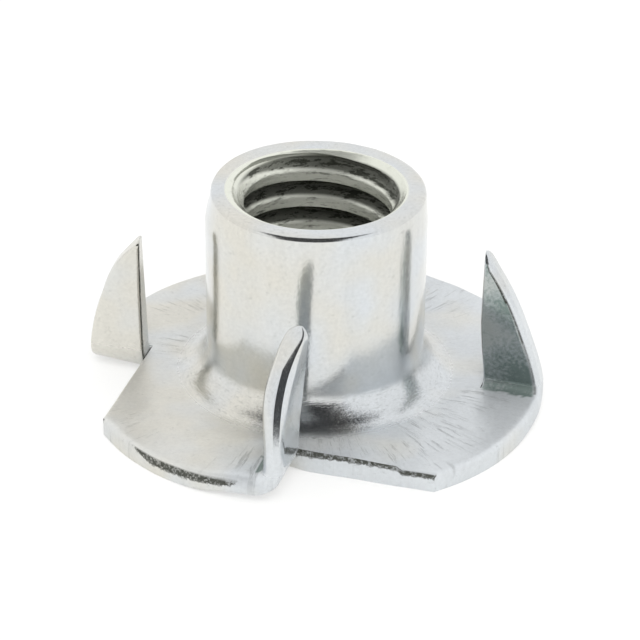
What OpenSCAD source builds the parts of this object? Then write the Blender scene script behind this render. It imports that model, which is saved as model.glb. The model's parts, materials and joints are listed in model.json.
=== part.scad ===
// Four-prong tee nut, stamped, drawn and bent from one disc of sheet steel.
// The flange lies on the plane z = 0, the barrel stands up along +Z, and the bore's axis is the Z axis.
// Units are millimetres. The helical thread inside the bore is left out: the bore is a plain cylinder
// at the thread's minor diameter.

/* [Barrel] */
// Outside diameter of the barrel
barrel_od = 11.9; // [10.5:0.1:13]
// Overall height, from the underside of the flange to the rim of the barrel
overall_h = 12; // [9:0.5:20]
// Radius of the soft outer edge of the rim
rim_round = 0.25; // [0.05:0.05:0.5]
// Radius of the drawn flare between the barrel and the flange
flare_r = 1.7; // [1:0.1:2.8]

/* [Bore] */
// Diameter of the bore, which is the minor diameter of the thread
bore_d = 8.15; // [6.5:0.05:9]
// How far the bevel at the mouth widens the bore, measured on the radius
mouth_bevel = 0.8; // [0.2:0.1:1]
// Radius of the funnel that the drawing punch leaves on the underside
funnel_r = 2.5; // [1:0.1:2.8]

/* [Flange] */
// Diameter of the flange, which is also that of the round blank
flange_d = 25.2; // [24:0.1:28]
// Thickness of the sheet
sheet_t = 1.1; // [0.8:0.1:1.6]
// Radius of the rolled-over top edge that blanking leaves on the rim of the blank
edge_roll_r = 0.25; // [0.05:0.05:0.4]

/* [Prongs] */
// Number of prongs
prong_count = 4; // [3:1:5]
// Distance from the axis to each slit, the straight cut that frees a prong
slit_offset = 9.25; // [8.8:0.05:10.5]
// Gap that shearing leaves between the flange and the inner edge of a prong
slit_gap = 0.05; // [0.02:0.01:0.2]
// Where the bend begins along the slit, measured from the slit's point nearest the axis
bend_start = -0.2; // [-0.5:0.1:0.5]
// Inside radius of the bend
bend_r = 0.5; // [0.3:0.1:0.8]
// Angle that each prong is bent through, in order round the flange
bend_angles = [95, 90, 87, 85]; // [80:1:100]
// How much is blunted off each point
tip_trim = 0.1; // [0:0.05:0.4]

/* [Hidden] */
$fn = 96;
// Derived lengths are rounded to a tenth of a micron, so that faces meant to meet are worked out alike
function tidy(length) = round(length * 1e4) / 1e4;
blank_r = tidy(flange_d / 2);
barrel_r = tidy(barrel_od / 2);
bore_r = tidy(bore_d / 2);
// Distance from the axis to the inner edge of a prong
inner_edge = tidy(slit_offset + slit_gap);
// That edge runs from the middle of a chord of the blank to the rim, so this is its length
half_chord = tidy(sqrt(blank_r * blank_r - inner_edge * inner_edge));
// Radius of the sheet's middle layer in the bend, which keeps its length
middle_r = bend_r + sheet_t / 2;
// How far cutting shapes run past the metal
over = 1;
// How far the cut along a blade's rim laps over the one along its bend
lap = 0.02;

// What rounding a square corner takes off. The corner's point is at the origin, and the metal
// lies towards +X and +Y.
module corner_waste(r) {
    difference() {
        translate([-over, -over]) square([r + over, r + over]);
        translate([r, r]) circle(r = r);
        translate([r, -over]) square([over, 2 * over + r]);
    }
}

// What is missing beyond the rim of the blank, in a section with x as the radius and y as the height
module rim_waste() {
    translate([blank_r, -over]) square([blank_r, sheet_t + 2 * over]);
    translate([blank_r, sheet_t]) rotate(180) corner_waste(edge_roll_r);
}

// Section of the blank from its axis to its rim, once the barrel is drawn up from its middle
module drawn_section() {
    difference() {
        union() {
            square([blank_r, sheet_t]);
            square([barrel_r, overall_h]);
            // Flare: a square in the inside corner, hollowed by a circle
            difference() {
                square([barrel_r + flare_r, sheet_t + flare_r]);
                translate([barrel_r + flare_r, sheet_t + flare_r]) circle(r = flare_r);
            }
        }
        rim_waste();
        // Bore
        translate([-over, -over]) square([over + bore_r, overall_h + 2 * over]);
        // Bevel at the mouth
        polygon([[bore_r - over, overall_h - mouth_bevel - over],
                 [bore_r + mouth_bevel + over, overall_h + over],
                 [bore_r - over, overall_h + over]]);
        // Funnel on the underside
        translate([bore_r, 0]) corner_waste(funnel_r);
        // Soft rim of the barrel
        translate([barrel_r, overall_h]) rotate(180) corner_waste(rim_round);
    }
}

// Repeats its children for each prong, turned to that prong's place. The prong itself faces +X.
module each_prong() {
    for (i = [0 : prong_count - 1]) rotate(i * 360 / prong_count) {
        $angle = bend_angles[i % len(bend_angles)];
        children();
    }
}

// Everything beyond a line along a slit, between two places on it
module beyond(line, from, to) {
    translate([line, from, -over]) cube([blank_r, to - from, sheet_t + 2 * over]);
}

// Everything on the -Y side of the XZ plane, within reach of a prong
module behind() {
    translate([0, -blank_r, -blank_r]) cube([2 * blank_r, blank_r, 2 * blank_r]);
}

// One side of a bent sheet with everything above it. The bend's centre is at the origin, the flange
// comes in from the -X side at a distance r below it, and the blade goes off at the given angle.
module above_sheet(angle, r) {
    circle(r = r);
    translate([-blank_r, -r]) square([blank_r, blank_r]);
    rotate(angle) translate([0, -r]) square([blank_r, blank_r]);
}

// Section through a bend and its blade, whose straight part has the given length
module bent_section(angle, blade_length) {
    outside_r = bend_r + sheet_t;
    difference() {
        above_sheet(angle, outside_r);
        above_sheet(angle, bend_r);
        // The flange's side of the bend is part of the flange
        translate([-blank_r, -outside_r - over]) square([blank_r, sheet_t + over + bend_r / 2]);
        // Beyond the tip
        rotate(angle) translate([blade_length, -outside_r - over]) square([blank_r, 2 * blank_r]);
    }
}

// A prong is the part of the blank beyond its slit, bent up about a line along X. Its inner edge is
// the straight slit, its outer edge is the blank's round rim, and the two meet in a point.
module prong(angle) {
    // Where along the slit the bend ends and the flat blade begins
    blade_start = tidy(bend_start + middle_r * angle * PI / 180);
    // Distance from the axis to the rim, half way through the bend
    reach = tidy(sqrt(blank_r * blank_r - pow((bend_start + blade_start) / 2, 2)));
    translate([0, bend_start, sheet_t + bend_r]) difference() {
        rotate([90, 0, 90]) translate([0, 0, inner_edge]) linear_extrude(reach - inner_edge)
            bent_section(angle, half_chord - tip_trim - blade_start);
        // The blank's rim, cut round the blade as it was before the bend
        rotate([angle, 0, 0]) translate([0, -blade_start, -bend_r - sheet_t]) intersection() {
            rotate_extrude() rim_waste();
            beyond(slit_offset, blade_start - lap, blank_r);
        }
        // The same rolled-over edge along the inside of the bend
        intersection() {
            rotate([90, 0, 90]) rotate_extrude() intersection() {
                translate([bend_r, reach]) rotate(-90) corner_waste(edge_roll_r);
                square(2 * blank_r);
            }
            rotate([angle, 0, 0]) behind();
        }
    }
}

module tee_nut() {
    color("gainsboro") {
        difference() {
            rotate_extrude() drawn_section();
            each_prong() beyond(slit_offset, bend_start, blank_r);
        }
        each_prong() prong($angle);
    }
}

tee_nut();
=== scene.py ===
import json
import math

import bmesh
import bpy
import numpy as np
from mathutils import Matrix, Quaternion, Vector


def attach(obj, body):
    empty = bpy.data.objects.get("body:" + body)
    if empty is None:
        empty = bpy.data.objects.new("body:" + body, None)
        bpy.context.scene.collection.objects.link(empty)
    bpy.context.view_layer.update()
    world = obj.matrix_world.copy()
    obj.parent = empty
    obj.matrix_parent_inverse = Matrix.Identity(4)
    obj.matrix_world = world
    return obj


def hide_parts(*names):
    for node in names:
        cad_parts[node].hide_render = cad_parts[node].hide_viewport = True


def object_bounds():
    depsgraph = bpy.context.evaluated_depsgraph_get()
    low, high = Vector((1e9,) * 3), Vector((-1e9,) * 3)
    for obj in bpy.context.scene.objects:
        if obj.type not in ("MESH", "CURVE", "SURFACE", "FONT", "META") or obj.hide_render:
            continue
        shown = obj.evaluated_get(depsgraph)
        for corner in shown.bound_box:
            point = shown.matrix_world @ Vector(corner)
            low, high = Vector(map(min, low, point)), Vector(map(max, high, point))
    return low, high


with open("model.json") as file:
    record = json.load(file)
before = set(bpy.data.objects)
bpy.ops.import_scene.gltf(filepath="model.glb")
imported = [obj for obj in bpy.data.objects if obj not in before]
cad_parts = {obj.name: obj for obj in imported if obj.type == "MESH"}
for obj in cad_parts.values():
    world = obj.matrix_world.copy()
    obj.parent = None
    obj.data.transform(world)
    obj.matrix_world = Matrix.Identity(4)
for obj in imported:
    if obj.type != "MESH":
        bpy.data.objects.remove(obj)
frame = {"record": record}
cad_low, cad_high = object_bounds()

# ---------------------------------------------------------------------------
# Barrel and flange.
# One disc of sheet steel whose middle is drawn up into the barrel by a punch, which leaves a flare
# round the foot and a funnel underneath. Four straight slits are sheared into the rim of the disc.
# ---------------------------------------------------------------------------
# Lengths are in millimetres, and MM turns them into metres
MM = 0.001
mounts = {mount["name"]: mount for mount in frame["record"]["mounts"]}
bore_r = mounts["thread"]["dims"]["r_mm"]
barrel_r = mounts["barrel"]["dims"]["r_mm"]
height = (cad_high[2] - cad_low[2]) / MM
blank_r = 12.6
sheet_t = 1.1
flare_r = 1.7
funnel_r = 2.5
rim_round = 0.25
mouth_bevel = 0.8
# Height at which the thread runs out into the funnel
thread_foot = 0.75
# The cut edges are rolled over on top, less so in a slit, and have a small burr underneath
edge_roll_r = 0.25
slit_roll_r = 0.12
burr_r = 0.06

# From here on, a list holds one value for each prong, in the order right, back, left, front.
# Each slit's distance from the axis, and where along it the bend begins
slit_x = [9.32, 9.25, 9.28, 8.9]
bend_start = [-0.13, -0.2, 0.5, 0.15]
# The rims of the prongs came out rounder than the disc's
prong_roll_r = [0.3, 0.35, 0.3, 0.7]
prong_burr_r = [0.2, 0.25, 0.2, 0.45]

# A cut edge is sheared smooth up to a share of the sheet's thickness, and above that it is torn.
# The share is given for the start and end of a slit, and for the disc's rim beyond each prong.
slit_tear = (0.55, 0.68)
rim_tear = [0.9, 0.8, 0.45, 1.05]
# The rest of the rim is sheared through, and only a few pits reach below its top
sheared_through = 1.1

# Rows of points down the flange and round its edge, and columns of points in each quarter
SECTORS = 4
COLUMNS = 72
TOP_ROWS = 5
BOTTOM_ROWS = 5
FACE_ROWS = 16
ROLL_ROWS = 4
WALL_ROWS = 8
BURR_ROWS = 2
LIP_ROWS = 2 * FACE_ROWS + ROLL_ROWS + WALL_ROWS + BURR_ROWS + 1
EDGE_ROWS = slice(FACE_ROWS + ROLL_ROWS - 1, FACE_ROWS + ROLL_ROWS + WALL_ROWS + BURR_ROWS)
# Columns over which the edge's form eases in at a prong's foot, and out again before the next prong
EASE_COLUMNS = 6
NEXT_COLUMNS = 14


def fade(value, start, end):
    """A soft step from 0 to 1 as a value goes from start to end"""
    share = np.clip((value - start) / (end - start), 0, 1)
    return share * share * (3 - 2 * share)


def turned(x, y, angle):
    """A place turned about the axis, by an angle in radians"""
    return np.cos(angle) * x - np.sin(angle) * y, np.sin(angle) * x + np.cos(angle) * y


def line(start, end, steps):
    """Points of a straight stretch of a section, as rows of (r, z), without its end"""
    return np.linspace(start, end, steps + 1)[:-1]


def arc(centre, radius, start, end, steps):
    """Points of a circular arc of a section, as rows of (r, z); angles in degrees"""
    angle = np.radians(np.linspace(start, end, steps + 1))
    return np.column_stack([centre[0] + radius * np.cos(angle), centre[1] + radius * np.sin(angle)])


def quarter_turn(steps):
    """Angles from 0 to a right angle"""
    return [math.pi / 2 * step / steps for step in range(steps + 1)]


def lip(inner, outer, inward, roll, burr):
    """The sheet from a point on its top face, over its cut edge and back to the same point underneath.
    inward leads from the edge into the sheet; roll and burr are the edge's radii above and below."""
    inner, outer, inward = np.array(inner), np.array(outer), np.array(inward)
    top_end, bottom_end = outer + inward * roll, outer + inward * burr
    shares = np.arange(FACE_ROWS + 1) / FACE_ROWS
    top = [(*(inner + (top_end - inner) * share), sheet_t) for share in shares[:-1]]
    rolled = [(*(outer + inward * roll * (1 - math.sin(a))), sheet_t - roll * (1 - math.cos(a)))
              for a in quarter_turn(ROLL_ROWS)[:-1]]
    wall = [(*outer, (sheet_t - roll) * (1 - share) + burr * share)
            for share in np.arange(WALL_ROWS + 1) / WALL_ROWS]
    burred = [(*(outer + inward * burr * (1 - math.cos(a))), burr * (1 - math.sin(a)))
              for a in quarter_turn(BURR_ROWS)[1:]]
    bottom = [(*(bottom_end + (inner - bottom_end) * share), 0.0) for share in shares[1:]]
    return np.array(top + rolled + wall + burred + bottom)


flare_end = barrel_r + flare_r
flare_top = sheet_t + flare_r
barrel_section = np.vstack([
    line((bore_r + mouth_bevel, height), (barrel_r - rim_round, height), 4),
    arc((barrel_r - rim_round, height - rim_round), rim_round, 90, 0, 6)[:-1],
    line((barrel_r, height - rim_round), (barrel_r, flare_top), 18),
    arc((flare_end, flare_top), flare_r, 180, 270, 20)[:-1],
])
funnel_end = math.degrees(math.acos(1 - thread_foot / funnel_r))
funnel_section = arc((bore_r + funnel_r, funnel_r), funnel_r, 270, 270 - funnel_end, 12)


def swept(section, barrel_a, ring_a, ring_r):
    """Points of a section that stands at one angle on the barrel and eases to another at a ring"""
    angle = barrel_a + (ring_a - barrel_a) * fade(section[:, 0], barrel_r, ring_r)
    return np.column_stack([section[:, 0] * np.cos(angle), section[:, 0] * np.sin(angle), section[:, 1]])


def quarter(place):
    """Points of the drawn sheet from one prong's foot to the next one's, by column and row, and for
    each column the share of the thickness above which its edge is torn"""
    following = (place + 1) % SECTORS
    slit, start = slit_x[place], bend_start[place]
    next_slit, next_start = slit_x[following], bend_start[following]
    foot_a = math.atan2(start, slit)
    corner_a = math.acos(slit / blank_r)
    next_foot_a = math.pi / 2 + math.atan2(next_start, next_slit)
    arc_end_a = math.pi / 2 + math.asin(next_start / blank_r)
    slit_columns = round(COLUMNS * (corner_a - foot_a) / (next_foot_a - foot_a))
    # The ring where the drawn middle ends and the lip begins passes a little inside the slits
    near_r, next_r = math.hypot(slit, start), math.hypot(next_slit, next_start)
    ring_inset = 0.12
    # How much the rolled edge grows with each column past the corner, from the slit's to the rim's
    roll_growth = 0.0375
    columns, tears = [], []
    for column in range(COLUMNS + 1):
        eased = min(1, column / EASE_COLUMNS)
        burr = burr_r * eased
        if column <= slit_columns:
            # Along the slit
            share = column / slit_columns
            outer_a = ring_a = foot_a + (corner_a - foot_a) * share
            outer_r = slit / math.cos(outer_a)
            ring_r = min(near_r, outer_r) - ring_inset * eased
            # At the corner the way into the sheet lies between the slit's and the rim's
            inward = (-1.0, 0.0) if column < slit_columns else (-1.0, -0.4)
            roll = slit_roll_r * share
            tear = slit_tear[0] + (slit_tear[1] - slit_tear[0]) * share
        else:
            # Along the disc's rim, whose edge takes on the next prong's before it gets there
            share = (column - slit_columns) / (COLUMNS - slit_columns)
            outer_a = corner_a + (arc_end_a - corner_a) * share
            ring_a = corner_a + (next_foot_a - corner_a) * share
            outer_r = blank_r
            ring_r = near_r - ring_inset + (next_r - near_r + ring_inset) * share
            inward = (-math.cos(outer_a), -math.sin(outer_a))
            near_prong = fade(column, COLUMNS - NEXT_COLUMNS, COLUMNS)
            roll = min(edge_roll_r, slit_roll_r + roll_growth * (column - slit_columns))
            roll += (prong_roll_r[following] - edge_roll_r) * near_prong
            burr += (prong_burr_r[following] - burr_r) * near_prong
            # It is torn from a little past the corner until just before the next prong
            torn = fade(share, 0.2, 0.45) * fade(share, 1.0, 0.88)
            tear = sheared_through + (rim_tear[place] - sheared_through) * torn
        if column == COLUMNS:
            inward = (0.0, -1 / math.sin(outer_a))
        outer = (outer_r * math.cos(outer_a), outer_r * math.sin(outer_a))
        ring = (ring_r * math.cos(ring_a), ring_r * math.sin(ring_a))
        barrel_a = math.pi / 2 * column / COLUMNS
        above = np.vstack([barrel_section, line((flare_end, sheet_t), (ring_r, sheet_t), TOP_ROWS)])
        below = np.vstack([line((ring_r, 0.0), (bore_r + funnel_r, 0.0), BOTTOM_ROWS)[1:], funnel_section])
        columns.append(np.vstack([swept(above, barrel_a, ring_a, ring_r),
                                  lip(ring, outer, inward, roll, burr),
                                  swept(below, barrel_a, ring_a, ring_r)]))
        tears.append(tear)
    grid = np.array(columns)
    grid[..., 0], grid[..., 1] = turned(grid[..., 0], grid[..., 1], math.pi / 2 * place)
    return grid, np.array(tears)


def grid_faces(columns, rows, start, closed=False):
    """Quads between neighbouring columns of points, numbered column by column"""
    faces = []
    for column in range(columns - 1):
        for row in range(rows if closed else rows - 1):
            below = (row + 1) % rows
            here, beyond = start + column * rows, start + (column + 1) * rows
            faces.append((here + row, here + below, beyond + below, beyond + row))
    return faces


def mesh_piece(name, points, faces, **marks):
    """An object in metres from points in millimetres, with a named number for each point"""
    mesh = bpy.data.meshes.new(name)
    mesh.from_pydata(np.asarray(points) * MM, [], faces)
    for mark, values in marks.items():
        attribute = mesh.attributes.new(mark, "FLOAT", "POINT")
        attribute.data.foreach_set("value", np.asarray(values, np.float32))
    piece = bpy.data.objects.new(name, mesh)
    bpy.context.scene.collection.objects.link(piece)
    return piece


# Each point is marked with how far it is on a sheared edge, how high up that edge it is, and where
# the edge begins to tear
sheet_points, sheet_faces, sheet_cuts, sheet_tears = [], [], [], []
lip_start = len(barrel_section) + TOP_ROWS
for place in range(SECTORS):
    grid, tears = quarter(place)
    columns, rows = grid.shape[:2]
    cut = np.zeros((columns, rows))
    cut[:, lip_start:][:, EDGE_ROWS] = 1
    sheet_faces += grid_faces(columns, rows, place * columns * rows)
    sheet_points.append(grid.reshape(-1, 3))
    sheet_cuts.append(cut.ravel())
    sheet_tears.append(np.repeat(tears, rows))
sheet_points = np.vstack(sheet_points)
drawn_sheet = mesh_piece("drawn_sheet", sheet_points, sheet_faces, sheared=np.concatenate(sheet_cuts),
                         depth=sheet_points[:, 2] / sheet_t, tear_from=np.concatenate(sheet_tears))

# ---------------------------------------------------------------------------
# Thread.
# A right-handed 3/8 inch coarse thread tapped through the barrel. The tap runs out into the bevel at
# the mouth and into the funnel below, and leaves the crests slightly torn.
# ---------------------------------------------------------------------------
# 3/8-16 UNC: sixteen turns to the inch
pitch = 25.4 / 16
major_r = 9.525 / 2
# Height of one crest on the +X side, which sets how the turns lie at the mouth
crest_height = 10.26
# Shares of the pitch, measured from the middle of a crest, at which the flank begins and ends
flank_start = 3 / 16
flank_end = 7 / 16
ROWS_PER_PITCH = 20


def add(tree, kind, settings=None, *feeds, **named):
    """Adds a node with its settings, and links or sets its inputs by place or by name"""
    made = tree.nodes.new(kind)
    for key, value in (settings or {}).items():
        setattr(made, key, value)
    places = list(enumerate(feeds)) + [(key.replace("_", " "), value) for key, value in named.items()]
    for place, value in places:
        if value is None:
            continue
        if isinstance(value, bpy.types.Node):
            value = value.outputs[0]
        if isinstance(value, bpy.types.NodeSocket):
            tree.links.new(value, made.inputs[place])
        else:
            made.inputs[place].default_value = value
    return made


def maths(tree, operation, *operands):
    """The result of a Math node"""
    return add(tree, "ShaderNodeMath", {"operation": operation}, *operands)


def ramp(tree, value, start, end, low=0.0, high=1.0, soft=False):
    """low where a value is at start, rising to high where it is at end, with or without soft ends"""
    shape = {"interpolation_type": "SMOOTHSTEP" if soft else "LINEAR"}
    return add(tree, "ShaderNodeMapRange", shape, value, start, end, low, high)


def new_tree(name, sizes):
    """A Geometry Nodes tree with a geometry input, named inputs for its sizes and a geometry output"""
    tree = bpy.data.node_groups.new(name, "GeometryNodeTree")
    tree.interface.new_socket(name="Geometry", in_out="INPUT", socket_type="NodeSocketGeometry")
    for label, value in sizes.items():
        kind = {int: "Int", float: "Float", bpy.types.Material: "Material"}[type(value)]
        tree.interface.new_socket(name=label, in_out="INPUT", socket_type=f"NodeSocket{kind}")
    tree.interface.new_socket(name="Geometry", in_out="OUTPUT", socket_type="NodeSocketGeometry")
    return tree, tree.nodes.new("NodeGroupInput").outputs, tree.nodes.new("NodeGroupOutput").inputs


def finish_tree(tree, geometry, material, out):
    """Ends a tree: its instances are made real and take their material"""
    solid = add(tree, "GeometryNodeRealizeInstances", None, geometry)
    done = add(tree, "GeometryNodeSetMaterial", None, solid, Material=material)
    tree.links.new(done.outputs[0], out[0])


def grow(piece, tree, sizes):
    """Runs a tree on a piece with these sizes, and keeps the result as the piece's plain mesh"""
    modifier = piece.modifiers.new(tree.name, "NODES")
    modifier.node_group = tree
    for socket in tree.interface.items_tree:
        if socket.in_out == "INPUT" and socket.name in sizes:
            modifier[socket.identifier] = sizes[socket.name]
    bpy.context.view_layer.update()
    made = piece.evaluated_get(bpy.context.evaluated_depsgraph_get())
    mesh = bpy.data.meshes.new_from_object(made)
    piece.modifiers.remove(modifier)
    piece.data = mesh


# The plating's nodes are made below, with the nut as one piece
zinc = bpy.data.materials.new("zinc_plated_stamped_steel")

# A grid is wound into the bore. Its rows climb with the thread, so that crests and roots lie along
# them. They begin a turn below the thread's foot, and are clamped there and at the mouth.
row_step = pitch / ROWS_PER_PITCH
first_row = crest_height + math.floor((thread_foot - pitch - crest_height) / row_step) * row_step
thread_sizes = {
    "Columns": SECTORS * COLUMNS + 1,
    "Rows": math.ceil((height - first_row) / row_step) + 1,
    "Row step": row_step * MM,
    "First row": first_row * MM,
    "Pitch": pitch * MM,
    "Crest height": crest_height * MM,
    "Minor radius": bore_r * MM,
    "Major radius": major_r * MM,
    "Foot": thread_foot * MM,
    "Mouth": height * MM,
    "Bevel": mouth_bevel * MM,
    "Funnel radius": funnel_r * MM,
    "Soft crest": 0.1 * MM,
    "Soft root": 0.04 * MM,
    "Torn crest": 0.03 * MM,
    "Seed": 7.0,
    "Finish": zinc,
}
thread_tree, sizes, out = new_tree("tapped_thread", thread_sizes)
flat_grid = add(thread_tree, "GeometryNodeMeshGrid", None, 1.0, 1.0, sizes["Columns"], sizes["Rows"])
spot = add(thread_tree, "ShaderNodeSeparateXYZ", None, add(thread_tree, "GeometryNodeInputPosition"))
turns = maths(thread_tree, "ADD", spot.outputs["X"], 0.5)
angle = maths(thread_tree, "MULTIPLY", turns, 2 * math.pi)
cosine = maths(thread_tree, "COSINE", angle)
sine = maths(thread_tree, "SINE", angle)
climb = maths(thread_tree, "MULTIPLY", turns, sizes["Pitch"])
row_share = maths(thread_tree, "ADD", spot.outputs["Y"], 0.5)
row = maths(thread_tree, "MULTIPLY", row_share, maths(thread_tree, "SUBTRACT", sizes["Rows"], 1.0))
level = maths(thread_tree, "MULTIPLY_ADD", row, sizes["Row step"], sizes["First row"])
level = maths(thread_tree, "ADD", level, climb)
level = add(thread_tree, "ShaderNodeClamp", None, level, sizes["Foot"], sizes["Mouth"])
# The row nearest the bevel's lower edge is moved onto it, so that the edge is a clean ring
bevel_foot = maths(thread_tree, "SUBTRACT", sizes["Mouth"], sizes["Bevel"])
half_step = maths(thread_tree, "MULTIPLY", sizes["Row step"], 0.5)
near = maths(thread_tree, "COMPARE", level, bevel_foot, half_step)
level = add(thread_tree, "ShaderNodeMix", {"data_type": "FLOAT"}, near, None, level, bevel_foot)
# Distance from the nearest crest, as a share of the pitch, gives the thread's section
phase = maths(thread_tree, "SUBTRACT", level, climb)
phase = maths(thread_tree, "SUBTRACT", phase, sizes["Crest height"])
phase = maths(thread_tree, "DIVIDE", phase, sizes["Pitch"])
off_crest = maths(thread_tree, "SUBTRACT", phase, maths(thread_tree, "ROUND", phase))
off_crest = maths(thread_tree, "ABSOLUTE", off_crest)
flank = add(thread_tree, "ShaderNodeMapRange", {"clamp": False}, off_crest, flank_start, flank_end,
            sizes["Minor radius"], sizes["Major radius"])
thread_r = maths(thread_tree, "SMOOTH_MAX", flank, sizes["Minor radius"], sizes["Soft crest"])
thread_r = maths(thread_tree, "SMOOTH_MIN", thread_r, sizes["Major radius"], sizes["Soft root"])
# Torn metal along the crests, which fades out at the top of the flanks
around = add(thread_tree, "ShaderNodeCombineXYZ", None, cosine, sine,
             maths(thread_tree, "DIVIDE", level, sizes["Minor radius"]))
tear = add(thread_tree, "ShaderNodeTexNoise", {"noise_dimensions": "4D"}, around,
           W=sizes["Seed"], Scale=30.0, Detail=3.0)
tear = ramp(thread_tree, tear, 0.45, 0.75, 0.0, sizes["Torn crest"])
on_crest = ramp(thread_tree, off_crest, 0.22, 0.3, 1.0, 0.0)
thread_r = maths(thread_tree, "ADD", thread_r, maths(thread_tree, "MULTIPLY", tear, on_crest))
# Bevel at the mouth and funnel at the foot, wherever they are wider than the thread
bevel_depth = maths(thread_tree, "SUBTRACT", level, bevel_foot)
bevel = maths(thread_tree, "ADD", bevel_depth, sizes["Minor radius"])
drop = maths(thread_tree, "MAXIMUM", maths(thread_tree, "SUBTRACT", sizes["Funnel radius"], level), 0.0)
drop = maths(thread_tree, "POWER", drop, 2.0)
square = maths(thread_tree, "POWER", sizes["Funnel radius"], 2.0)
run = maths(thread_tree, "SQRT", maths(thread_tree, "SUBTRACT", square, drop))
funnel = maths(thread_tree, "ADD", sizes["Minor radius"], sizes["Funnel radius"])
funnel = maths(thread_tree, "SUBTRACT", funnel, run)
radius = maths(thread_tree, "MAXIMUM", thread_r, bevel)
radius = maths(thread_tree, "MAXIMUM", radius, funnel)
on_wall = add(thread_tree, "ShaderNodeCombineXYZ", None, maths(thread_tree, "MULTIPLY", cosine, radius),
              maths(thread_tree, "MULTIPLY", sine, radius), level)
wound = add(thread_tree, "GeometryNodeSetPosition", None, flat_grid, Position=on_wall)
closed = add(thread_tree, "GeometryNodeMergeByDistance", None, wound, Distance=0.001 * MM)
inwards = add(thread_tree, "GeometryNodeFlipFaces", None, closed)
finish_tree(thread_tree, inwards, sizes["Finish"], out)

tapped_bore = mesh_piece("tapped_bore", [(0, 0, 0)], [])
grow(tapped_bore, thread_tree, thread_sizes)

# ---------------------------------------------------------------------------
# Prongs.
# What lies beyond each slit is bent up into a prong: a blade with the slit as its straight inner edge
# and the disc's rim as its curved outer one. Each of the four was bent a little differently.
# ---------------------------------------------------------------------------
slit_gap = 0.05
bend_r = 0.5
# How much is missing from each point, and the length over which the point is rounded off
tip_trim = 0.1
tip_round = [0.4, 0.5, 0.15, 0.6]
# How far each inner face is swollen towards the tip, the front one most
swell = [0.05, 0.05, 0.0, 0.35]
bend_angle = [96.0, 90.0, 87.0, 90.0]
# How far each blade bows towards its back by its tip, and how much it was drawn out in length
bow = [0.39, 0.3, 0.15, 0.62]
stretch = [1.1, 1.02, 1.11, 1.0]
# Soft edge of a blade along its slit
inner_round = 0.1
# A prong's rim shows little of the shearing. Shares of the thickness above which its rim, its slit
# side and a burr on it are torn.
rim_shear = 0.2
blade_rim_tear = 1.3
blade_slit_tear = 0.8
burr_tear = 0.4
STATIONS = 52
TIP_STATIONS = 8


def blade_loop(place, y, half_thickness):
    """One closed loop of points round a flat blade, at a distance y along its slit"""
    past = y - bend_start[place]
    inner_x = slit_x[place] + min(slit_gap, 0.1 * past)
    slope = math.sqrt(1 - (y / blank_r)**2)
    width = max(blank_r * slope - inner_x, 0.02)
    # The radii shrink where the blade is narrow. Gap and inner radius open from nothing at the foot, so
    # that the first loop meets the sheet.
    roll = min(prong_roll_r[place], 0.6 * width * slope)
    burr = min(prong_burr_r[place], 0.3 * width * slope)
    corner = min(inner_round, 0.3 * width, 0.2 * past)
    outer_part = lip((inner_x, y), (inner_x + width, y), (-1 / slope, 0.0), roll, burr)
    outer_part[:FACE_ROWS, 0] += corner * (1 - np.arange(FACE_ROWS) / FACE_ROWS)
    outer_part[-FACE_ROWS:, 0] += corner * np.arange(1, FACE_ROWS + 1) / FACE_ROWS
    lower_round = [(inner_x + corner * (1 - math.sin(a)), y, corner * (1 - math.cos(a)))
                   for a in quarter_turn(BURR_ROWS)[1:]]
    inner_wall = [(inner_x, y, corner * (1 - share) + (sheet_t - corner) * share)
                  for share in np.arange(1, WALL_ROWS + 1) / WALL_ROWS]
    upper_round = [(inner_x + corner * (1 - math.cos(a)), y, sheet_t - corner * (1 - math.sin(a)))
                   for a in quarter_turn(ROLL_ROWS)[1:-1]]
    loop = np.vstack([outer_part, lower_round, inner_wall, upper_round])
    swollen = fade(y, 2.5, 5.7) * fade(y, 9.2, 7.0)
    loop[:, 2] *= 1 + swell[place] / sheet_t * swollen
    loop[:, 2] = sheet_t / 2 + (loop[:, 2] - sheet_t / 2) * half_thickness / (sheet_t / 2)
    return loop


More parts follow.
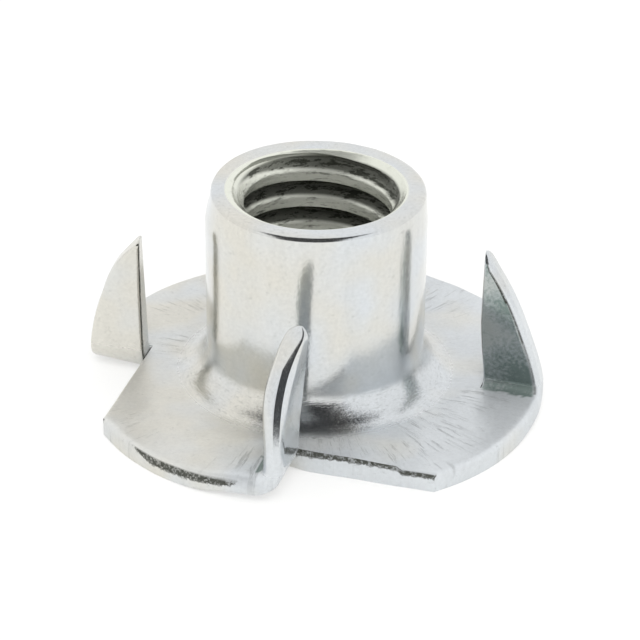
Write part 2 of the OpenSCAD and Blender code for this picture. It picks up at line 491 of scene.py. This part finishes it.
blade_points, blade_faces, blade_marks = [], [], []
for place in range(SECTORS):
    start = bend_start[place]
    end = math.sqrt(blank_r**2 - slit_x[place]**2) - tip_trim
    body_end = end - tip_round[place]
    loops = [blade_loop(place, y, sheet_t / 2) for y in np.linspace(start, body_end, STATIONS)]
    # The blade thins to its point, with stations that get closer together
    for share in np.sin(np.radians(np.linspace(0, 80, TIP_STATIONS)[1:])):
        thinned = sheet_t / 2 * (1 - share**2)**0.7
        loops.append(blade_loop(place, body_end + tip_round[place] * share, thinned))
    loops = np.array(loops)
    stations, rows = loops.shape[:2]
    first = place * stations * rows
    last = first + (stations - 1) * rows
    blade_faces += grid_faces(stations, rows, first, closed=True)
    blade_faces.append(tuple(range(last, last + rows)))

    cut = np.zeros((stations, rows))
    cut[:, EDGE_ROWS] = rim_shear
    cut[:, LIP_ROWS:] = 1
    tears = np.full((stations, rows), blade_rim_tear)
    tears[:, LIP_ROWS:] = blade_slit_tear
    depth = loops[..., 2] / sheet_t
    depth[:, LIP_ROWS:] = 1 - depth[:, LIP_ROWS:]
    inside = np.zeros((stations, rows))
    inside[:, :FACE_ROWS] = 1
    if place == 0:
        # A burr runs up the right prong where its inner face meets the rim. It is heavier from half way
        # up, and wider over the last quarter.
        cut[4:, FACE_ROWS] = 0.7
        cut[STATIONS // 2:, FACE_ROWS] = 1
        cut[3 * STATIONS // 4:STATIONS, FACE_ROWS - 1:FACE_ROWS + 1] = 1
        tears[:, FACE_ROWS - 1:FACE_ROWS + 1] = burr_tear
    marks = {"sheared": cut, "depth": depth, "tear_from": tears, "inside": inside}
    facts = {"turn": math.pi / 2 * place, "bend": math.radians(bend_angle[place]),
             "bend_start": start * MM, "bow": bow[place] * MM, "stretch": stretch[place]}
    marks.update({name: np.full((stations, rows), fact) for name, fact in facts.items()})
    blade_points.append(loops.reshape(-1, 3))
    blade_marks.append(marks)
prong_marks = {name: np.concatenate([marks[name].ravel() for marks in blade_marks])
               for name in blade_marks[0]}
prongs = mesh_piece("prongs", np.vstack(blade_points), blade_faces, **prong_marks)

# Each blade is wrapped round its bend, bowed, and turned to its place on the disc
prong_sizes = {"Bend radius": bend_r * MM, "Sheet": sheet_t * MM, "Bowed length": 7 * MM, "Finish": zinc}
prong_tree, sizes, out = new_tree("bent_prongs", prong_sizes)
fact = {name: add(prong_tree, "GeometryNodeInputNamedAttribute", {"data_type": "FLOAT"}, Name=name)
        for name in ("turn", "bend", "bend_start", "bow", "stretch")}
flat = add(prong_tree, "ShaderNodeSeparateXYZ", None, add(prong_tree, "GeometryNodeInputPosition"))
half_sheet = maths(prong_tree, "MULTIPLY", sizes["Sheet"], 0.5)
middle_r = maths(prong_tree, "ADD", sizes["Bend radius"], half_sheet)
bend_length = maths(prong_tree, "MULTIPLY", middle_r, fact["bend"])
past = maths(prong_tree, "SUBTRACT", flat.outputs["Y"], fact["bend_start"])
in_bend = maths(prong_tree, "MINIMUM", past, bend_length)
swing = maths(prong_tree, "DIVIDE", in_bend, middle_r)
straight = maths(prong_tree, "SUBTRACT", past, in_bend)
straight = maths(prong_tree, "MULTIPLY", straight, fact["stretch"])
above = maths(prong_tree, "SUBTRACT", flat.outputs["Z"], half_sheet)
layer_r = maths(prong_tree, "SUBTRACT", middle_r, above)
sine = maths(prong_tree, "SINE", swing)
cosine = maths(prong_tree, "COSINE", swing)
bent_y = maths(prong_tree, "MULTIPLY_ADD", layer_r, sine, fact["bend_start"])
bent_y = maths(prong_tree, "MULTIPLY_ADD", straight, cosine, bent_y)
# The bow grows with the square of the distance from the bend
reach = maths(prong_tree, "DIVIDE", straight, sizes["Bowed length"])
bent_y = maths(prong_tree, "MULTIPLY_ADD", maths(prong_tree, "POWER", reach, 2.0), fact["bow"], bent_y)
centre_z = maths(prong_tree, "ADD", sizes["Sheet"], sizes["Bend radius"])
bent_z = maths(prong_tree, "MULTIPLY_ADD", straight, sine, centre_z)
bent_z = maths(prong_tree, "SUBTRACT", bent_z, maths(prong_tree, "MULTIPLY", layer_r, cosine))
bent = add(prong_tree, "ShaderNodeCombineXYZ", None, flat.outputs["X"], bent_y, bent_z)
in_place = add(prong_tree, "ShaderNodeVectorRotate", {"rotation_type": "Z_AXIS"}, bent, Angle=fact["turn"])
standing = add(prong_tree, "GeometryNodeSetPosition", None, sizes["Geometry"], Position=in_place)
finish_tree(prong_tree, standing, sizes["Finish"], out)
grow(prongs, prong_tree, prong_sizes)

# ---------------------------------------------------------------------------
# The nut as one piece.
# Sheet, thread and prongs are the same metal, so their shared edges are welded. Pressing and bending
# left the flange raised beside each prong and the barrel's rim pinched, and plating covers it all.
# ---------------------------------------------------------------------------
nut = bpy.data.objects.new("tee_nut_zinc_plated", bpy.data.meshes.new("tee_nut_zinc_plated"))
bpy.context.scene.collection.objects.link(nut)
parts = [drawn_sheet, tapped_bore, prongs]
with bpy.context.temp_override(active_object=drawn_sheet, object=drawn_sheet, selected_objects=parts,
                               selected_editable_objects=parts):
    bpy.ops.object.join()
bm = bmesh.new()
bm.from_mesh(drawn_sheet.data)
bmesh.ops.remove_doubles(bm, verts=bm.verts, dist=0.0015 * MM)
bmesh.ops.dissolve_degenerate(bm, edges=bm.edges, dist=0.0001 * MM)
bmesh.ops.recalc_face_normals(bm, faces=bm.faces)
bm.to_mesh(nut.data)
bm.free()
bpy.data.objects.remove(drawn_sheet)

points = np.empty(len(nut.data.vertices) * 3)
nut.data.vertices.foreach_get("co", points)
x, y, z = (points.reshape(-1, 3) / MM).T
radius = np.hypot(x, y)
azimuth = np.degrees(np.arctan2(y, x))


def hump(centre, half_width):
    """1 at an angle round the axis, falling softly to 0 on both sides of it; angles in degrees"""
    off = (azimuth - centre + 180) % 360 - 180
    return fade(np.abs(off), half_width, 0)


# Nowhere is the flange quite flat
wave = 0.025 * (np.sin(x * 0.9 + 1.3) * np.sin(y * 0.8 + 0.4) + 0.6 * np.sin(x * 1.9 - y * 1.3))
rise = np.maximum(wave * fade(radius, 7, 10), -0.02)
# The rim of the barrel is pinched in by 0.3 mm on one side and 0.1 mm opposite. At the back the bevel
# is raised by up to 0.15 mm, which leaves the level rim wider there.
on_barrel = radius < 7
pinch = (0.3 * hump(196, 75) + 0.1 * hump(16, 60)) * fade(z, 10.2, 11.8) * on_barrel
rise += 0.15 * hump(135, 90) * fade(z, 11, 11.9) * on_barrel

# The flange is drawn up where each prong was bent, by this much at the prong's inner edge and outer
# edge, over a length in front of the bend and behind it. The prong stands on the raised part.
raised_inside = [0.22, 0.12, 0.0, 0.26]
raised_outside = [0.12, 0.2, 0.25, 0.3]
raised_before = 4.5
raised_behind = 2.2
# The left blade is fuller towards its tip, the right one leans to the barrel, and each is twisted
# about its own middle by an angle that grows with height
fuller = [0.0, 0.0, 0.22, 0.0]
lean_in = [0.24, 0.0, -0.04, 0.0]
twist_angle = [7.0, -2.0, 10.0, -22.0]
twist_start = 1.8
twist_end = 8.6
# A blade's middle lies this far outside its slit, and nears it with each millimetre of height
middle_out = 1.9
middle_nearing = 0.19
# A blade's own inner edge lies on its slit to within this
tolerance = 0.001
for place in range(SECTORS):
    # u leads outwards past the blade's inner edge, and v leads along its slit
    turn, slit, start = math.pi / 2 * place, slit_x[place], bend_start[place]
    u, v = turned(x, y, -turn)
    on_prong = (u > slit - tolerance) & (v > start)
    on_this_side = (np.abs(v) < 7) & (u > 0)
    # The flange's rise is full at the bend, and all the way up the prong
    along = np.where(v < start, fade(v, start - raised_before, start), fade(v, start + raised_behind, start))
    along[on_prong] = 1
    more = raised_outside[place] - raised_inside[place]
    lift = fade(u, 7.4, 8.9) * (raised_inside[place] + more * fade(u, 9.4, 12.4))
    rise += along * lift * on_this_side
    u += fuller[place] * (u - slit) * fade(z, 4.6, 8.0) * on_prong
    middle_u = slit + middle_out - middle_nearing * z
    middle_v = start + bend_r + sheet_t / 2
    twist_share = np.clip((z - twist_start) / (twist_end - twist_start), 0, 1)**1.3
    twist = np.radians(twist_angle[place]) * twist_share * on_prong
    twisted_u, twisted_v = turned(u - middle_u, v - middle_v, twist)
    u = middle_u + twisted_u - lean_in[place] * fade(z, 1.2, 5.2) * on_prong
    x, y = turned(u, middle_v + twisted_v, turn)
drawn_in = 1 - pinch / np.maximum(radius, 1)
points = np.column_stack([x * drawn_in, y * drawn_in, np.clip(z + rise, 0, height)])
nut.data.vertices.foreach_set("co", (points * MM).ravel())
nut.data.update()
nut.data.shade_smooth()
nut.data.set_sharp_from_angle(angle=math.radians(40))
nut.data.materials.clear()
nut.data.materials.append(zinc)

# Bright zinc plate on pressed steel. The plate is a near-mirror with a cool or a cream cast, over the
# drawing marks of the sheet, so it reflects softly and shows fine scratches along the metal's flow.
# Its patterns are laid out in millimetres: a scale of 5 gives grains of about 0.2 mm.
zinc.use_nodes = True
skin = zinc.node_tree
skin.nodes.clear()


def colour(code):
    """Linear colour from an sRGB hex value"""
    parts = [int(code[i:i + 2], 16) / 255 for i in (0, 2, 4)]
    return [p / 12.92 if p <= 0.04045 else ((p + 0.055) / 1.055)**2.4 for p in parts] + [1.0]


def blend(tree, share, first, second):
    """A colour that goes from the first to the second as a share goes from 0 to 1"""
    unused = [None] * 5
    return add(tree, "ShaderNodeMix", {"data_type": "RGBA"}, share, *unused, first, second).outputs[2]


def noise(at, scale, detail, roughness=0.5):
    """A cloudy pattern in the plating, with values round 0.5"""
    return add(skin, "ShaderNodeTexNoise", None, at, Scale=scale, Detail=detail, Roughness=roughness)


def product(*factors):
    """Several masks multiplied together"""
    result = factors[0]
    for factor in factors[1:]:
        result = maths(skin, "MULTIPLY", result, factor)
    return result


def layered(base, *layers):
    """A value with layers on top, each a mask and what it adds where the mask is 1"""
    for mask, weight in layers:
        base = maths(skin, "MULTIPLY_ADD", mask, weight, base)
    return base


def mark(name):
    """One of the numbers that the mesh holds for each point"""
    return add(skin, "ShaderNodeAttribute", {"attribute_name": name}).outputs["Fac"]


def unrolled(flat_place, scale, level):
    """A place for a pattern: a place in plan, scaled, with a level of its own"""
    climb = add(skin, "ShaderNodeCombineXYZ", None, 0.0, 0.0, level)
    scales = (scale, scale, scale)
    return add(skin, "ShaderNodeVectorMath", {"operation": "MULTIPLY_ADD"}, flat_place, scales, climb)


here = add(skin, "ShaderNodeTexCoord").outputs["Object"]
point = add(skin, "ShaderNodeVectorMath", {"operation": "SCALE"}, here, Scale=1 / MM)
axes = add(skin, "ShaderNodeSeparateXYZ", None, point)
level = axes.outputs["Z"]
in_plan = add(skin, "ShaderNodeCombineXYZ", None, axes.outputs["X"], axes.outputs["Y"], 0.0)
out_r = add(skin, "ShaderNodeVectorMath", {"operation": "LENGTH"}, in_plan).outputs["Value"]
outward = add(skin, "ShaderNodeVectorMath", {"operation": "NORMALIZE"}, in_plan)

# Where on the nut a spot is: each is 1 there and 0 elsewhere
in_bore = ramp(skin, out_r, 4.95, 4.85, soft=True)
on_flange = product(ramp(skin, out_r, 7.0, 8.0, soft=True), ramp(skin, level, 1.9, 1.4, soft=True))
on_flare = product(ramp(skin, level, 3.6, 2.4, soft=True), ramp(skin, out_r, 8.2, 7.2, soft=True),
                   ramp(skin, level, 0.4, 0.9, soft=True))
on_inner_face = mark("inside")
sheared = mark("sheared")

# Cloudy tints of the plating, cooler to the right, and faint streaks that the punch drew upwards
cloud = noise(point, 0.28, 1.5)
mottle = ramp(skin, layered(cloud, (axes.outputs["X"], 0.014)), 0.34, 0.66)
tint = blend(skin, mottle, colour("DAD8D0"), colour("D6DADD"))
drawn = add(skin, "ShaderNodeVectorMath", {"operation": "MULTIPLY"}, point, (1.0, 1.0, 0.12))
streak = noise(drawn, 0.75, 4.0, 0.6)

# Fine grain of the plate, and specks of dull grey in it
grain = noise(point, 5.0, 4.0, 0.65)
speck = ramp(skin, noise(point, 3.1, 3.0, 0.7), 0.6, 0.74)

# Scratches that run outwards over the flange, in bundles
scratches_at = unrolled(outward, 9.0, maths(skin, "MULTIPLY", out_r, 0.07))
bundle = ramp(skin, noise(point, 0.33, 1.0), 0.5, 0.62)
scratch = product(ramp(skin, noise(scratches_at, 6.5, 3.0, 0.7), 0.56, 0.64), bundle, on_flange)

# Sheared edges: smooth where the blade entered, torn and pitted where the sheet broke
ragged = noise(point, 5.0, 4.0, 0.75)
tear_line = maths(skin, "ADD", maths(skin, "MULTIPLY_ADD", ragged, 0.6, -0.3), mark("tear_from"))
past_tear = maths(skin, "SUBTRACT", mark("depth"), tear_line)
pits = ramp(skin, ragged, 0.4, 0.5, 0.5, 1.0)
torn = product(ramp(skin, past_tear, -0.02, 0.06, soft=True), sheared, pits)

# Strain marks of the drawing, in short lines round the flare, and dull flecks where they are strong
strain_at = unrolled(in_plan, 0.35, maths(skin, "SUBTRACT", level, out_r))
strain = product(noise(strain_at, 7.0, 4.0, 0.7), on_flare)
flecks = ramp(skin, strain, 0.55, 0.75, 0.0, 0.35)

# Torn metal and chips that the tap left in the bore, in short lines along the thread, and painted shade in
# the thread's roots, darker the deeper a spot lies in its groove. Both stop below the bevel's bright edge at
# the mouth.
below_mouth = ramp(skin, level, 11.75, 11.6, soft=True)
chatter = product(noise(unrolled(outward, 0.8, level), 5.0, 5.0, 0.75), in_bore,
                  ramp(skin, level, 11.75, 11.6, 0.4, 1.0, soft=True))
chips = ramp(skin, chatter, 0.52, 0.66, 0.0, 0.75)
# Painted shade: the thread's flanks and roots are darkened towards the bottom of each groove
root = product(ramp(skin, out_r, 4.13, 4.35, 0.0, 0.85, soft=True), in_bore, below_mouth)

# Colour: the tints with their grain, paler cut metal in the bore, a grey-green tint with a painted dark
# reflection on the prongs' inner faces, near-black where dirt and dull metal gather, and painted shade in
# the thread's roots
pepper = ramp(skin, layered(grain, (streak, 0.5)), 0.45, 1.05, 0.91, 1.07)
pepper = layered(pepper, (on_flange, -0.055))
plate = add(skin, "ShaderNodeVectorMath", {"operation": "SCALE"}, tint, Scale=pepper)
plate = blend(skin, in_bore, plate.outputs[0], colour("DFE1D6"))
# Painted reflection, partly a real tint of the plate: mottled grey-green darkening on the prongs' inner
# faces stands in for the dark reflection seen there
tint_and_painted_reflection = product(ramp(skin, layered(cloud, (grain, 0.7)), 0.72, 0.98, 0.45, 1.0), on_inner_face)
plate = blend(skin, tint_and_painted_reflection, plate, colour("7C8A86"))
# Near-black marks of dull metal, together with the painted shade in the thread's roots
dull_metal_and_painted_shade = layered(chips, (speck, 0.16), (flecks, 1.0), (scratch, 0.24), (torn, 0.95), (root, 1.0))
plate = blend(skin, add(skin, "ShaderNodeClamp", None, dull_metal_and_painted_shade), plate, colour("3E4038"))

# Roughness by place: soft on the flange, brighter on the drawn barrel
uneven = ramp(skin, grain, 0.3, 0.7, -0.04, 0.04)
rough = layered(0.13, (on_flange, 0.27), (in_bore, 0.08), (sheared, 0.1), (uneven, 1.0),
                (on_flare, -0.02), (torn, 0.2))
# The flange and the bore are less of a mirror than the drawn barrel
mirror = layered(0.95, (in_bore, -0.3), (on_flange, -0.5))
relief = layered(0.0, (grain, 0.5), (scratch, -1.2), (torn, -1.5), (streak, 1.5), (strain, 1.3),
                 (chatter, 6.0))
bump = add(skin, "ShaderNodeBump", None, Strength=1.0, Distance=0.012 * MM, Height=relief)
metal = add(skin, "ShaderNodeBsdfPrincipled", None, Base_Color=plate, Metallic=mirror, Roughness=rough,
            Normal=bump)
add(skin, "ShaderNodeOutputMaterial", None, metal)

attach(nut, "root")
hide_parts("tee_nut")

# ---------------------------------------------------------------------------
# Floor, lights and camera.
# A white sheet under and behind the nut, wide soft lights round it, and a dark gap in the tent of
# light where the camera looks in.
# ---------------------------------------------------------------------------
floor_half = 0.6
floor_mesh = bpy.data.meshes.new("white_floor")
sides = ((-1, -1), (1, -1), (1, 1), (-1, 1))
corners = [(side_x * floor_half, side_y * floor_half, 0) for side_x, side_y in sides]
floor_mesh.from_pydata(corners, [], [(0, 1, 2, 3)])
floor = bpy.data.objects.new("white_floor", floor_mesh)
bpy.context.scene.collection.objects.link(floor)
# White matt paper. To the camera and in reflections it glows a little, so it reads as pure white
# around the nut's own soft shadow.
paper = bpy.data.materials.new("white_matt_paper")
paper.use_nodes = True
sheet = paper.node_tree
sheet.nodes.clear()
matt = add(sheet, "ShaderNodeBsdfDiffuse", None, colour("F4F4F2"))
glow = add(sheet, "ShaderNodeEmission", None, colour("FFFFFF"), 1.0)
rays = add(sheet, "ShaderNodeLightPath").outputs
seen = maths(sheet, "ADD", rays["Is Camera Ray"], rays["Is Glossy Ray"])
paper_white = add(sheet, "ShaderNodeMixShader", None, maths(sheet, "MULTIPLY", seen, 0.55), matt, glow)
add(sheet, "ShaderNodeOutputMaterial", None, paper_white)
floor_mesh.materials.append(paper)


def direction(azimuth, elevation):
    """The way from the nut towards an azimuth and an elevation in degrees"""
    around, up = math.radians(azimuth), math.radians(elevation)
    return Vector((math.cos(around) * math.cos(up), math.sin(around) * math.cos(up), math.sin(up)))


# The tent of light is white all round. Only reflections see its gap, as dark bands on the plating.
# The gap's edges are soft, both towards its top and bottom and to its sides.
world = bpy.data.worlds.new("light_tent")
bpy.context.scene.world = world
world.use_nodes = True
sky = world.node_tree
sky.nodes.clear()
way = add(sky, "ShaderNodeTexCoord").outputs["Generated"]
gap_azimuth = -82
gap_elevation = 52
dot = {"operation": "DOT_PRODUCT"}
facing = add(sky, "ShaderNodeVectorMath", dot, way, direction(gap_azimuth, gap_elevation)).outputs["Value"]
aside = add(sky, "ShaderNodeVectorMath", dot, way, direction(gap_azimuth + 90, 0)).outputs["Value"]
gap = maths(sky, "MULTIPLY", ramp(sky, facing, 0.55, 0.72, soft=True),
            ramp(sky, maths(sky, "ABSOLUTE", aside), 0.64, 0.42, soft=True))
tent = blend(sky, gap, colour("FFFFFF"), colour("14161A"))
in_reflections = add(sky, "ShaderNodeLightPath").outputs["Is Glossy Ray"]
tent = blend(sky, in_reflections, colour("FFFFFF"), tent)
add(sky, "ShaderNodeOutputWorld", None, add(sky, "ShaderNodeBackground", None, tent, 1.0))

nut_middle = Vector((0, 0, height / 2 * MM))


def soft_light(name, side, power, spot):
    """A square light of a side in metres and a power in watts, facing the nut"""
    data = bpy.data.lights.new(name, "AREA")
    data.size = side
    data.energy = power
    light = bpy.data.objects.new(name, data)
    light.location = spot
    light.rotation_euler = (nut_middle - Vector(spot)).to_track_quat("-Z", "Y").to_euler()
    # Seen in the plating it would be a hard white square
    light.visible_glossy = False
    bpy.context.scene.collection.objects.link(light)


soft_light("soft_light_left", 0.3, 0.05, (-0.35, -0.1, 0.35))
soft_light("soft_light_front", 0.3, 1.2, (0.1, -0.3, 0.42))

view_azimuth = -74.19
view_elevation = 28.45
view_roll = 0.48
view_distance = 0.1344
toward = direction(view_azimuth, view_elevation)
camera_data = bpy.data.cameras.new("camera")
camera_data.lens = 139.44
camera_data.sensor_width = 36
camera_data.clip_start = 0.01
camera_data.shift_x = 0.0065
camera_data.shift_y = -0.0511
camera = bpy.data.objects.new("camera", camera_data)
camera.location = nut_middle + toward * view_distance
level_view = (-toward).to_track_quat("-Z", "Y")
camera.rotation_euler = (level_view @ Quaternion((0, 0, 1), math.radians(view_roll))).to_euler()
bpy.context.scene.collection.objects.link(camera)
bpy.context.scene.camera = camera
bpy.context.scene.view_settings.view_transform = "Standard"
